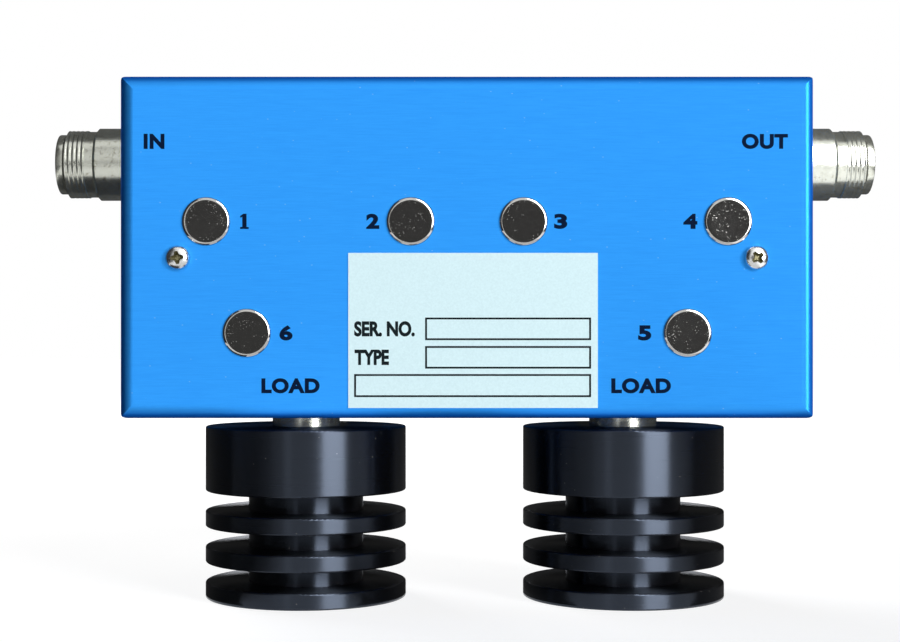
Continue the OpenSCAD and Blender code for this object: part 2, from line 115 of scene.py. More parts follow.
# Sides of what is turned
PORT_SIDES = 96
BORE_SIDES = 64
HOLE_SIDES = 32

# Tuning plugs, in millimetres
SHEET_T = 1.6
PLUG_D = 10.8
PLUG_H = 0.7
PLUG_SIDE_H = 0.10
PLUG_EDGE_W = 0.75
PLUG_EDGE_STEPS = 10
PLUG_DISH = 0.05
PLUG_DISH_R = 4.2
PLUG_DISH_RINGS = (4.0, 3.4, 2.7, 1.8, 0.9, AXIS_R)
PLUG_T = 0.35
SKIRT_D = 9.4
PLUG_REACH = 4.2
PLUG_FINGERS = 6
FINGER_STEPS = 6
PLUG_SLIT = 1.0
PLUG_BEAD = 0.3
BEAD_STEPS = 6
PLUG_SIDES = 96

# Cover screws, in millimetres and degrees
SCREW_HEAD_D = 5.5
SCREW_HEAD_H = 2.0
SCREW_SIDE_H = 0.3
SCREW_SHANK_D = 2.84
SCREW_LEN = 6.4
DOME_FULLNESS = 0.8
DOME_STEPS = 16
DOME_STEP_DEG = 5.5
SCREW_SIDES = 64
RECESS_W = 1.0
RECESS_SPAN = 3.1
RECESS_DEPTH = 1.3
RECESS_SPARE = 0.3
# Shares: the recess's bottom of its top, and of its width its tips and its inner corners
RECESS_TAPER = 0.4
RECESS_TIP = 0.7
RECESS_HEEL = 1.25
# A face this near the recess's bottom is part of it, and one that faces up less than this is a wall
RECESS_NEAR = 0.05
RECESS_WALL = 0.8
# Which side each screw is on, and how far its recess is turned
SCREW_TURNS = ((-1, 8), (1, 38))

# Print, in millimetres: each kind of type has its capitals' height, extra weight and spacing
INK_T = 0.03
RULE_W = 0.42
LEGEND_TYPE = (3.36, 0.05, 1.1)
CAPTION_TYPE = (3.4, 0.045, 1.0)

# Each legend on the cover: its words, the middle of its print in X and Z, and its width
LEGENDS = [
    ("IN", (-69.3, 104.3), 4.6),
    ("OUT", (65.9, 104.3), 10.2),
    ("LOAD", (-39.1, 50.2), 12.9),
    ("LOAD", (38.5, 50.2), 13.2),
    ("2", (-20.9, 86.6), 2.9),
    ("3", (20.7, 86.6), 2.9),
    ("4", (49.4, 86.6), 3.1),
    ("5", (39.3, 61.9), 2.9),
    ("6", (-40.1, 61.9), 2.9),
]
# The figure one has a flag and a foot: its middle, the points about it, and its faces
ONE_MIDDLE = (-49.3, 86.6)
ONE = [(-0.95, -1.68), (-0.47, -1.68), (0.47, -1.68), (0.95, -1.68), (0.95, -1.25), (0.47, -1.25),
       (-0.47, -1.25), (-0.95, -1.25), (0.47, 1.68), (-0.25, 1.68), (-0.47, 1.52), (-0.95, 1.2),
       (-0.95, 0.8), (-0.47, 1.0)]
ONE_FACES = [(0, 1, 6, 7), (1, 2, 5, 6), (2, 3, 4, 5), (6, 5, 8, 9, 10, 13), (12, 13, 10, 11)]

# The label's fields end this far from its right side. Each one's left, lower and upper edges are
# measured from the label's lower left corner
FIELD_MARGIN = 1.5
FIELDS = [(17.0, 15.0, 20.0), (17.0, 8.7, 13.7), (1.3, 2.4, 7.5)]
# Each caption: its words, the middle of its print from the same corner, and its width
CAPTIONS = [("SER. NO.", (8.0, 17.5), 13.4), ("TYPE", (5.2, 11.2), 7.6)]


# Small tools


def linear(hex_colour):
    """An sRGB colour such as "3399FF" as linear red, green, blue and alpha."""
    parts = [int(hex_colour[i:i + 2], 16) / 255 for i in (0, 2, 4)]
    return [c / 12.92 if c <= 0.04045 else ((c + 0.055) / 1.055) ** 2.4 for c in parts] + [1.0]


def wire(node, links):
    """Links a node's inputs, by name or number, to other nodes' outputs."""
    for key, source in dict(links).items():
        node.id_data.links.new(source, node.inputs[key])


def put(tree, kind, settings=(), links=()):
    """Adds a node. Settings are by property or input, and links as wire() takes them."""
    node = tree.nodes.new(kind)
    for key, value in dict(settings).items():
        if isinstance(key, str) and hasattr(node, key):
            setattr(node, key, value)
        else:
            node.inputs[key].default_value = value
    wire(node, links)
    return node


def place_mm(tree, scale):
    """Object coordinates in millimetres, times a scale for each axis: a scale of 4 gives a pattern
    whose parts are about 0.25 mm apart."""
    coords = put(tree, "ShaderNodeTexCoord")
    return put(tree, "ShaderNodeMapping", {"Scale": [s / MM for s in scale]},
               {"Vector": coords.outputs["Object"]}).outputs["Vector"]


def moved(x, y, z):
    """A move by millimetres."""
    return Matrix.Translation((x * MM, y * MM, z * MM))


def rotated(degrees, axis):
    """A turn about an axis."""
    return Matrix.Rotation(math.radians(degrees), 4, axis)


def as_mesh(build, name):
    """A mesh from one under construction, which it ends."""
    data = bpy.data.meshes.new(name)
    build.to_mesh(data)
    build.free()
    return data


def evaluated_mesh(obj):
    """A plain mesh of what an object's text or modifiers make."""
    bpy.context.view_layer.update()
    graph = bpy.context.evaluated_depsgraph_get()
    return bpy.data.meshes.new_from_object(obj.evaluated_get(graph))


def shade(obj, sharp_deg):
    """Smooth shading, apart from edges that turn more than an angle."""
    mesh = bmesh.new()
    mesh.from_mesh(obj.data)
    for face in mesh.faces:
        face.smooth = True
    for edge in mesh.edges:
        if len(edge.link_faces) == 2:
            edge.smooth = edge.calc_face_angle() < math.radians(sharp_deg)
    mesh.to_mesh(obj.data)
    mesh.free()


def new_piece(name, mesh, material, sharp_deg):
    """Links a finished mesh as a piece of the object."""
    obj = bpy.data.objects.new(name, mesh)
    scene.collection.objects.link(obj)
    obj.data.materials.clear()
    obj.data.materials.append(material)
    shade(obj, sharp_deg)
    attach(obj, "root")
    return obj


# Finishes

METAL = {"Metallic": 1.0}
# A Mix node's inputs and output for colours, which share their names with those for numbers
COLOUR_A, COLOUR_B, COLOUR_OUT = 6, 7, 2
# Most of what a noise gives lies between these
NOISE_SPAN = {"From Min": 0.3, "From Max": 0.7}
GRAIN_DEPTH = 0.02 * MM
# How far past a tapped hole's wall its painted shade reaches, and over what it fades, in millimetres
BORE_MARGIN = 0.1


def finish(name, shader):
    """A material with a Principled shader alone, which starts from the settings given."""
    material = bpy.data.materials.new(name)
    material.use_nodes = True
    tree = material.node_tree
    tree.nodes.clear()
    surface = put(tree, "ShaderNodeBsdfPrincipled", shader)
    put(tree, "ShaderNodeOutputMaterial", links={"Surface": surface.outputs["BSDF"]})
    return material, tree, surface


def shader_of(material):
    """A finish's tree and its Principled shader."""
    tree = material.node_tree
    return tree, tree.nodes["Principled BSDF"]


def overlay(material, share, colour):
    """Lays a second colour over a finish where share is 1."""
    tree, surface = shader_of(material)
    clean = surface.inputs["Base Color"].links[0].from_socket
    both = put(tree, "ShaderNodeMix", {"data_type": "RGBA", COLOUR_B: linear(colour)},
               {"Factor": share, COLOUR_A: clean})
    wire(surface, {"Base Color": both.outputs[COLOUR_OUT]})


def clouded(name, shader, dark, light, roughness, grain, bump=0.0):
    """A finish with fine clouding: two colours, a range of roughness and a grain size in mm."""
    material, tree, surface = finish(name, shader)
    cloud = put(tree, "ShaderNodeTexNoise", {"Scale": 1.0, "Detail": 5.0, "Roughness": 0.65},
                {"Vector": place_mm(tree, [1 / g for g in grain])}).outputs["Fac"]
    share = put(tree, "ShaderNodeMapRange", NOISE_SPAN, {"Value": cloud}).outputs["Result"]
    colours = put(tree, "ShaderNodeMix", {
        "data_type": "RGBA", COLOUR_A: linear(dark), COLOUR_B: linear(light)}, {"Factor": share})
    rough = put(tree, "ShaderNodeMapRange", {
        **NOISE_SPAN, "To Min": roughness[0], "To Max": roughness[1]}, {"Value": cloud})
    wire(surface, {"Base Color": colours.outputs[COLOUR_OUT], "Roughness": rough.outputs["Result"]})
    if bump:
        relief = put(tree, "ShaderNodeBump", {"Strength": bump, "Distance": GRAIN_DEPTH},
                     {"Height": cloud})
        wire(surface, {"Normal": relief.outputs["Normal"]})
    return material


def blue_anodised():
    """Brushed aluminium sheet, dyed blue: an even satin colour with short fine streaks across it.
    The streaks stretch a highlight across themselves, and a deeper blue is painted as shade on
    the outer half of each bend."""
    material, tree, surface = finish("brushed_blue_anodising", {
        "Metallic": 0.6, "Specular IOR Level": 0.12, "Specular Tint": (0.15, 0.50, 1.0, 1.0),
        "Anisotropic Rotation": 0.25})
    tangent = put(tree, "ShaderNodeTangent", {"direction_type": "RADIAL", "axis": "Z"})
    normal = put(tree, "ShaderNodeTexCoord").outputs["Normal"]
    facing = put(tree, "ShaderNodeVectorMath", {"operation": "ABSOLUTE"}, {0: normal}).outputs[0]
    towards = put(tree, "ShaderNodeSeparateXYZ", links={"Vector": facing}).outputs

    # Streaks about 5.5 mm long in X and 0.25 mm wide, which is coarser than the real brushing so
    # that they show. On the upper and lower faces they are narrow in Y instead of Z
    grain = {"Scale": 1.0, "Detail": 3.0, "Roughness": 0.6}
    on_sides = put(tree, "ShaderNodeTexNoise", grain,
                   {"Vector": place_mm(tree, (0.18, 0.18, 4.0))}).outputs["Fac"]
    on_top = put(tree, "ShaderNodeTexNoise", grain,
                 {"Vector": place_mm(tree, (0.18, 4.0, 0.18))}).outputs["Fac"]
    streaks = put(tree, "ShaderNodeMix", {}, {
        "Factor": towards["Z"], "A": on_sides, "B": on_top}).outputs["Result"]
    share = put(tree, "ShaderNodeMapRange", {"From Min": 0.25, "From Max": 0.75},
                {"Value": streaks}).outputs["Result"]
    colours = put(tree, "ShaderNodeMix", {
        "data_type": "RGBA", COLOUR_A: linear("2F98F8"), COLOUR_B: linear("37A3FF")},
        {"Factor": share})
    rough = put(tree, "ShaderNodeMapRange", {**NOISE_SPAN, "To Min": 0.36, "To Max": 0.44},
                {"Value": streaks})
    relief = put(tree, "ShaderNodeBump", {"Strength": 0.06, "Distance": GRAIN_DEPTH},
                 {"Height": streaks})
    stretch = put(tree, "ShaderNodeMapRange", {
        "From Min": 0.1, "From Max": 0.9, "To Min": 0.8, "To Max": 0.0}, {"Value": towards["Z"]})
    wire(surface, {
        "Base Color": colours.outputs[COLOUR_OUT], "Roughness": rough.outputs["Result"],
        "Normal": relief.outputs["Normal"], "Tangent": tangent.outputs["Tangent"],
        "Anisotropic": stretch.outputs["Result"]})

    # Specks of dust, about 3 mm apart
    specks = put(tree, "ShaderNodeTexVoronoi", {"Scale": 1.0},
                 {"Vector": place_mm(tree, (0.3, 0.3, 0.45))}).outputs["Distance"]
    dusty = put(tree, "ShaderNodeMapRange", {
        "From Min": 0.03, "From Max": 0.07, "To Min": 0.7, "To Max": 0.0}, {"Value": specks})
    overlay(material, dusty.outputs["Result"], "86C6FA")

    # A bend faces two ways at once, and its outer half turns away from the front: a deeper blue is
    # painted there as shade
    askew = put(tree, "ShaderNodeVectorMath", {"operation": "DOT_PRODUCT", 1: (1, 1, 1)},
                {0: facing}).outputs["Value"]
    on_bend = put(tree, "ShaderNodeMapRange", {"From Min": 1.02, "From Max": 1.16},
                  {"Value": askew}).outputs["Result"]
    outer_half = put(tree, "ShaderNodeMapRange", {
        "From Min": 0.60, "From Max": 0.92, "To Min": 1.0, "To Max": 0.0},
        {"Value": towards["Y"]}).outputs["Result"]
    bend_shade = put(tree, "ShaderNodeMath", {"operation": "MULTIPLY"}, {0: on_bend, 1: outer_half})
    overlay(material, bend_shade.outputs[0], "1478F0")
    return material


def black_anodised():
    """Turned aluminium, dyed black: a clear oxide skin over black, and lathe rings that stretch
    each highlight along the axis."""
    material, tree, surface = finish("turned_black_anodising", {
        "Metallic": 0.0, "IOR": 1.76, "Specular IOR Level": 0.42,
        "Specular Tint": (0.62, 0.75, 1.0, 1.0), "Anisotropic": 0.95,
        "Anisotropic Rotation": 0.25})
    tangent = put(tree, "ShaderNodeTangent", {"direction_type": "RADIAL", "axis": "Z"})

    # Rings about 0.25 mm apart, as a coarse lathe feed leaves them, and specks about 3 mm apart
    rings = put(tree, "ShaderNodeTexNoise", {"Scale": 1.0, "Detail": 3.0, "Roughness": 0.8},
                {"Vector": place_mm(tree, (0.02, 0.02, 4.0))}).outputs["Fac"]
    specks = put(tree, "ShaderNodeTexVoronoi", {"Scale": 1.0},
                 {"Vector": place_mm(tree, (0.35, 0.35, 0.35))}).outputs["Distance"]
    dusty = put(tree, "ShaderNodeMapRange", {
        "From Min": 0.03, "From Max": 0.06, "To Min": 1.0, "To Max": 0.0}, {"Value": specks})
    colours = put(tree, "ShaderNodeMix", {
        "data_type": "RGBA", COLOUR_A: linear("050506"), COLOUR_B: linear("5A5854")},
        {"Factor": dusty.outputs["Result"]})
    rough = put(tree, "ShaderNodeMapRange", {**NOISE_SPAN, "To Min": 0.27, "To Max": 0.33},
                {"Value": rings})
    relief = put(tree, "ShaderNodeBump", {"Strength": 0.10, "Distance": GRAIN_DEPTH},
                 {"Height": rings})
    wire(surface, {
        "Base Color": colours.outputs[COLOUR_OUT], "Roughness": rough.outputs["Result"],
        "Normal": relief.outputs["Normal"], "Tangent": tangent.outputs["Tangent"]})
    return material


def stained_nickel():
    """Bright nickel on turned brass: warm white, with small brown stains of handling. A touch less
    metallic than pure metal, as the haze of age on it scatters a little light."""
    material = clouded("bright_nickel_plating", {"Metallic": 0.9}, "CACCC0", "DADCD2",
                       (0.18, 0.26), (1.5, 1.5, 1.5), 0.03)
    tree, _ = shader_of(material)

    # Stains about a millimetre across
    spots = put(tree, "ShaderNodeTexNoise", {"Scale": 1.0, "Detail": 6.0, "Roughness": 0.75},
                {"Vector": place_mm(tree, (0.9, 0.9, 0.9))}).outputs["Fac"]
    stained = put(tree, "ShaderNodeMapRange", {
        "From Min": 0.55, "From Max": 0.68, "To Min": 0.0, "To Max": 0.75}, {"Value": spots})
    overlay(material, stained.outputs["Result"], "8C8570")
    return material


def milled_aluminium():
    """Milled aluminium under a clear chromate: pale satin with cutter marks and a faint warm cast.
    The four tapped holes of the back are painted dark as shade, for the light that their threads
    trap."""
    material = clouded("milled_aluminium", METAL, "B9BBB8", "D2D3CF", (0.30, 0.42),
                       (6, 6, 0.4), 0.2)
    tree, _ = shader_of(material)
    sizes = BACK_BOLTS["dims"]
    corner = (sizes["spacing_x_mm"] / 2 * MM, 0, sizes["spacing_y_mm"] / 2 * MM)
    bore = (sizes["hole_r_mm"] + BORE_MARGIN) * MM

    # The way from the nearest hole's axis, by folding the back in four about its middle
    place = put(tree, "ShaderNodeTexCoord").outputs["Object"]
    for settings in ({"operation": "SUBTRACT", 1: BACK_BOLTS["pos_m"]}, {"operation": "ABSOLUTE"},
                     {"operation": "SUBTRACT", 1: corner}, {"operation": "MULTIPLY", 1: (1, 0, 1)}):
        place = put(tree, "ShaderNodeVectorMath", settings, {0: place}).outputs[0]
    off_axis = put(tree, "ShaderNodeVectorMath", {"operation": "LENGTH"}, {0: place})
    painted_bore_shade = put(tree, "ShaderNodeMapRange", {
        "From Min": bore, "From Max": bore + BORE_MARGIN * MM, "To Min": 1.0, "To Max": 0.0},
        {"Value": off_axis.outputs["Value"]})
    # The holes are painted near black, as shade
    overlay(material, painted_bore_shade.outputs["Result"], "141413")
    return material


def bright_pressing():
    """Bright nickel on pressed steel: a mirror, with tiny pits and scratches that catch the light."""
    material = clouded("bright_plated_pressing", METAL, "BCBBB8", "C8C7C4", (0.05, 0.09),
                       (0.6, 0.6, 0.6))
    tree, surface = shader_of(material)
    smooth = surface.inputs["Roughness"].links[0].from_socket

    # Pits about 0.5 mm apart, in patches a few millimetres across
    cells = put(tree, "ShaderNodeTexVoronoi", {"Scale": 1.0},
                {"Vector": place_mm(tree, (2.2, 2.2, 2.2))}).outputs["Distance"]
    pits = put(tree, "ShaderNodeMapRange", {
        "From Min": 0.10, "From Max": 0.24, "To Min": 0.4, "To Max": 0.0}, {"Value": cells})
    cloud = put(tree, "ShaderNodeTexNoise", {"Scale": 1.0, "Detail": 2.0},
                {"Vector": place_mm(tree, (0.3, 0.3, 0.3))}).outputs["Fac"]
    patches = put(tree, "ShaderNodeMapRange", {"From Min": 0.42, "From Max": 0.55},
                  {"Value": cloud})
    worn = put(tree, "ShaderNodeMath", {"operation": "MULTIPLY"},
               {0: pits.outputs["Result"], 1: patches.outputs["Result"]})
    rough = put(tree, "ShaderNodeMath", {"operation": "MAXIMUM"}, {0: smooth, 1: worn.outputs[0]})
    wire(surface, {"Roughness": rough.outputs[0]})
    return material


FINISHES = {
    "blue_anodised": blue_anodised(),
    "black_anodised": black_anodised(),
    "milled_aluminium": milled_aluminium(),
    "nickel": stained_nickel(),
    "tinned_steel": bright_pressing(),
    # Bright zinc on a machine screw: a cool, slightly blurred mirror
    "plated_screw": clouded("bright_zinc_plating", METAL, "D6D7D6", "E2E3E2", (0.20, 0.26),
                            (0.8, 0.8, 0.8)),
    # Printed film: a pale blue satin with a faint tooth
    "label_film": clouded("printed_label_film", {}, "CDE8EE", "D8F2F8", (0.45, 0.55),
                          (0.5, 0.5, 0.5), 0.05),
    # Turned PTFE: waxy, warm white
    "ptfe": clouded("turned_ptfe", {}, "E6E5E0", "F2F1EC", (0.45, 0.55), (3, 3, 3)),
    # Gold plate over nickel: deep yellow and bright
    "gold_plate": clouded("gold_plating", METAL, "D9A640", "F0C766", (0.15, 0.25), (1, 1, 1)),
    # Half-hard copper sheet, cut and left bare: salmon with rolling marks along it
    "copper": clouded("cut_copper_sheet", METAL, "B86B45", "D98B62", (0.25, 0.38), (3, 3, 0.4)),
    # Ground ferrite: an even charcoal with a dull gloss
    "ferrite": clouded("ground_ferrite", {}, "2E2E31", "3C3C40", (0.45, 0.6), (2, 2, 2)),
    # Ground ceramic magnet: darker than the ferrite, and as dull
    "magnet": clouded("ground_magnet", {}, "1E1F22", "2B2C30", (0.45, 0.6), (2, 2, 2)),
    # Blanked steel under thin plating: a mid grey with a soft sheen
    "mild_steel": clouded("plated_mild_steel", METAL, "8B8E92", "A6A9AD", (0.28, 0.4), (2, 2, 2)),
    # Turned brass, unplated: dull yellow, a little tarnished
    "trimmer_brass": clouded("turned_trimmer_brass", METAL, "B08D4A", "D0AE6A", (0.2, 0.32),
                             (2, 2, 2)),
    # Glazed ceramic rod: nearly white, with a soft gloss
    "resistor_body": clouded("resistor_ceramic", {}, "D6D6DA", "E6E6EA", (0.4, 0.5), (2, 2, 2)),
}
# Dull olive painted on the walls and bottom of a driver's recess, as shade
RECESS = clouded("recess_shade", METAL, "6E6A50", "8F8A6C", (0.45, 0.6), (0.3, 0.3, 0.3))
# Screen-printed epoxy ink: matt blue-black, as a little of the blue shows through
INK = clouded("screen_printed_ink", {"Specular IOR Level": 0.1}, "04122A", "081A38", (0.6, 0.7),
              (1, 1, 1))
# Ink in the label's film: a matt, softer black
LABEL_INK = clouded("label_ink", {"Specular IOR Level": 0.15}, "0E171A", "141E22", (0.6, 0.7),
                    (1, 1, 1))

for row in frame["record"]["subparts"]:
    node = frame["nodes"][row["node"]]
    node.data.materials.clear()
    node.data.materials.append(FINISHES[row["material_slot"]])


# Solids


def about_z(radius, turn, height):
    """The point at a radius and height in millimetres, turned about Z from +X, in metres."""
    return radius * MM * math.cos(turn), radius * MM * math.sin(turn), height * MM


def lofted(name, rings, looped=False):
    """A closed mesh through rings of points in metres. Its two ends are capped, or if it is looped
    the last ring joins the first."""
    mesh = bmesh.new()
    loops = [[mesh.verts.new(point) for point in ring] for ring in rings]
    for a, b in zip(loops, loops[1:] + loops[:1] if looped else loops[1:]):
        for k in range(len(a)):
            after = (k + 1) % len(a)
            mesh.faces.new((a[k], a[after], b[after], b[k]))
    if not looped:
        mesh.faces.new(loops[0])
        mesh.faces.new(loops[-1])
    bmesh.ops.recalc_face_normals(mesh, faces=mesh.faces)
    return as_mesh(mesh, name)


def turned(profile, steps, threaded=None):
    """A mesh of revolution about Z, from a closed section of (radius, height) in millimetres.
    threaded gives what a height and an angle add to the radius."""
    turns = [2 * math.pi * k / steps for k in range(steps)]
    return lofted("turned", [
        [about_z(radius + (threaded(height, t) if threaded else 0), t, height) for t in turns]
        for radius, height in profile], looped=True)


def joined(parts):
    """One mesh from several, without booleans."""
    mesh = bmesh.new()
    for part in parts:
        mesh.from_mesh(part)
    return as_mesh(mesh, "joined")


def cut_mesh(body, cutters):
    """A mesh less each of its cutters, by exact booleans."""
    target = bpy.data.objects.new("target", body)
    scene.collection.objects.link(target)
    for cutter in cutters:
        tool = bpy.data.objects.new("cutter", cutter)
        scene.collection.objects.link(tool)
        modifier = target.modifiers.new("cut", "BOOLEAN")
        modifier.operation = "DIFFERENCE"
        modifier.solver = "EXACT"
        modifier.object = tool
        data = evaluated_mesh(target)
        target.modifiers.clear()
        target.data = data
        bpy.data.objects.remove(tool)
    bpy.data.objects.remove(target)
    return data


def block(lo, hi, corner=0.0):
    """A box between two corners in millimetres, with its upright edges rounded."""
    mesh = bmesh.new()
    bmesh.ops.create_cube(mesh, size=1.0)
    size = [(b - a) * MM for a, b in zip(lo, hi)]
    middle = [(a + b) / 2 * MM for a, b in zip(lo, hi)]
    bmesh.ops.scale(mesh, vec=size, verts=mesh.verts)
    bmesh.ops.translate(mesh, vec=middle, verts=mesh.verts)
    if corner:
        upright = [e for e in mesh.edges if abs(e.verts[0].co.z - e.verts[1].co.z) > size[2] / 2]
        bmesh.ops.bevel(mesh, geom=upright, offset=corner * MM, segments=4, affect="EDGES",
                        profile=0.5)
    return as_mesh(mesh, "block")


# Coaxial ports


def coupling_thread(start, end):
    """A function that gives the thread's groove as a change of radius at a height and angle. The
    grooves are drawn shallower than a real thread's, as only faint lines of them are to be seen."""
    depth = (THREAD_D - THREAD_ROOT_D) / 2

    def groove(height, turn):
        if not start <= height <= end:
            return 0.0
        phase = (height / THREAD_PITCH - turn / (2 * math.pi)) % 1
        vee = max(0.0, 1 - abs(phase - 0.5) / (GROOVE_SHARE / 2))
        fade = min(1.0, min(height - start, end - height) / (GROOVE_FADE * THREAD_PITCH))
        return -depth * vee * fade

    return groove


def port_profile():
    """The section of an end port's shell, outside first, and its thread."""
    thread_end = PORT_TIP - LEAD_LEN - LEAD_CONE
    thread_start = thread_end - THREAD_LEN
    body_end = thread_start - RELIEF_LEN
    spigot_end = -FLANGE_T + SPIGOT_OVERLAP
    mouth_end = PORT_TIP - MOUTH_DEPTH
    body = [(SPIGOT_D / 2, -TRAY_WALL_T), (SPIGOT_D / 2, spigot_end), (PORT_BODY_D / 2, spigot_end),
            (PORT_BODY_D / 2, body_end - BODY_CONE), (RELIEF_D / 2, body_end),
            (RELIEF_D / 2, thread_start - NUDGE)]
    thread = [(THREAD_D / 2, thread_start + THREAD_LEN * k / THREAD_ROWS)
              for k in range(THREAD_ROWS + 1)]
    lead = [(THREAD_D / 2 - LEAD_STEP, thread_end + NUDGE), (LEAD_D / 2, thread_end + LEAD_CONE),
            (LEAD_D / 2, PORT_TIP - LIP_EDGE),
            (LEAD_D / 2 - LIP_EDGE * LIP_ROUND, PORT_TIP - LIP_EDGE * LIP_ROUND),
            (LEAD_D / 2 - LIP_EDGE, PORT_TIP)]
    inside = [(MOUTH_D / 2 + LIP_EDGE, PORT_TIP), (MOUTH_D / 2, PORT_TIP - LIP_EDGE),
              (MOUTH_D / 2, mouth_end), (LINE_D / 2, mouth_end), (LINE_D / 2, -TRAY_WALL_T)]
    return body + thread + lead + inside, coupling_thread(thread_start, thread_end)


def port_flange():
    """The square flange about Z, with a hole for the body and four for countersunk screws."""
    half = FLANGE_W / 2
    below = -FLANGE_T - CUTTER_SPARE
    sink = (FLANGE_SINK_D - FLANGE_HOLE_D) / 2
    bore = PORT_BODY_D / 2 - NUDGE
    cutters = [turned([(AXIS_R, below), (bore, below), (bore, CUTTER_SPARE),
                       (AXIS_R, CUTTER_SPARE)], BORE_SIDES)]
    for sx in (-1, 1):
        for sy in (-1, 1):
            hole = turned([(AXIS_R, below), (FLANGE_HOLE_D / 2, below), (FLANGE_HOLE_D / 2, -sink),
                           (FLANGE_SINK_D / 2, 0), (FLANGE_SINK_D / 2, CUTTER_SPARE),
                           (AXIS_R, CUTTER_SPARE)], HOLE_SIDES)
            hole.transform(moved(sx * FLANGE_PITCH / 2, sy * FLANGE_PITCH / 2, 0))
            cutters.append(hole)
    return cut_mesh(block((-half, -half, -FLANGE_T), (half, half, 0), FLANGE_CORNER), cutters)


def port_shell(name, node, side):
    """An end port's shell, threaded and turned outwards, at the left (-1) or the right (1)."""
    profile, thread = port_profile()
    mesh = joined([turned(profile, PORT_SIDES, thread), port_flange()])
    mesh.transform(moved(side * TRAY_WALL, 0, PORT_Z) @ rotated(side * 90, "Y"))
    piece = new_piece(name, mesh, FINISHES["nickel"], 40)
    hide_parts(node)


port_shell("input_port_nose", "in_port_shell", -1)
port_shell("output_port_nose", "out_port_shell", 1)


# Tuning plugs


def arc_section(steps, centre, radii, first_deg, last_deg):
    """Points on an ellipse, from one angle to another."""
    turns = [math.radians(first_deg + (last_deg - first_deg) * k / steps) for k in range(steps + 1)]
    return [(centre[0] + radii[0] * math.cos(t), centre[1] + radii[1] * math.sin(t)) for t in turns]


def plug_head():
    """The pressed head about Z: a rolled edge round a slightly dished face, and a short collar."""
    under = PLUG_H - PLUG_T - PLUG_DISH
    inner = SKIRT_D / 2 - PLUG_T
    edge = arc_section(PLUG_EDGE_STEPS, (PLUG_D / 2 - PLUG_EDGE_W, PLUG_SIDE_H),
                       (PLUG_EDGE_W, PLUG_H - PLUG_SIDE_H), 0, 90)
    dish = [(r, PLUG_H - PLUG_DISH * (1 - (r / PLUG_DISH_R) ** 2)) for r in PLUG_DISH_RINGS]
    inside = [(AXIS_R, under), (inner, under), (inner, -SHEET_T / 2),
              (SKIRT_D / 2, -SHEET_T / 2), (SKIRT_D / 2, 0)]
    return turned([(PLUG_D / 2, 0)] + edge + dish + inside, PLUG_SIDES)


def plug_finger():
    """One spring finger of the skirt, centred on +X, with the bead that grips the sheet."""
    half = math.pi / PLUG_FINGERS - math.asin(PLUG_SLIT / SKIRT_D)
    outer, inner = SKIRT_D / 2, SKIRT_D / 2 - PLUG_T
    bead = arc_section(BEAD_STEPS, (outer, -SHEET_T - 2 * PLUG_BEAD), (PLUG_BEAD, PLUG_BEAD),
                       90, -90)
    section = [(outer, -SHEET_T / 2)] + bead
    section += [(outer, -PLUG_REACH), (inner, -PLUG_REACH), (inner, -SHEET_T / 2)]
    turns = [half * (2 * k / FINGER_STEPS - 1) for k in range(FINGER_STEPS + 1)]
    return lofted("finger", [[about_z(r, turn, height) for r, height in section] for turn in turns])


def plug_tree():
    """Geometry nodes: a ring of fingers joined to the head, set on each place and turned to the
    front."""
    tree = bpy.data.node_groups.new("tuning_plugs", "GeometryNodeTree")
    face = tree.interface
    for name, kind in (("Places", "Geometry"), ("Head", "Object"), ("Finger", "Object"),
                       ("Fingers", "Int"), ("Finish", "Material")):
        face.new_socket(name, in_out="INPUT", socket_type="NodeSocket" + kind)
    face.new_socket("Plugs", in_out="OUTPUT", socket_type="NodeSocketGeometry")
    given = put(tree, "NodeGroupInput").outputs
    head = put(tree, "GeometryNodeObjectInfo", links={"Object": given["Head"]})
    finger = put(tree, "GeometryNodeObjectInfo", links={"Object": given["Finger"]})
    spots = put(tree, "GeometryNodePoints", links={"Count": given["Fingers"]})
    index = put(tree, "GeometryNodeInputIndex")
    step = put(tree, "ShaderNodeMath", {"operation": "DIVIDE", 0: 2 * math.pi},
               {1: given["Fingers"]})
    turn = put(tree, "ShaderNodeMath", {"operation": "MULTIPLY"},
               {0: index.outputs[0], 1: step.outputs[0]})
    about = put(tree, "ShaderNodeCombineXYZ", links={"Z": turn.outputs[0]})
    ring = put(tree, "GeometryNodeInstanceOnPoints", links={
        "Points": spots.outputs[0], "Instance": finger.outputs["Geometry"],
        "Rotation": about.outputs[0]})
    whole = put(tree, "GeometryNodeJoinGeometry", links={0: head.outputs["Geometry"]})
    wire(whole, {0: ring.outputs[0]})
    plug = put(tree, "GeometryNodeGeometryToInstance", links={0: whole.outputs[0]})
    placed = put(tree, "GeometryNodeInstanceOnPoints", {"Rotation": (math.radians(90), 0, 0)},
                 {"Points": given["Places"], "Instance": plug.outputs[0]})
    real = put(tree, "GeometryNodeRealizeInstances", links={0: placed.outputs[0]})
    painted = put(tree, "GeometryNodeSetMaterial", links={
        "Geometry": real.outputs[0], "Material": given["Finish"]})
    put(tree, "NodeGroupOutput", links={0: painted.outputs[0]})
    return tree


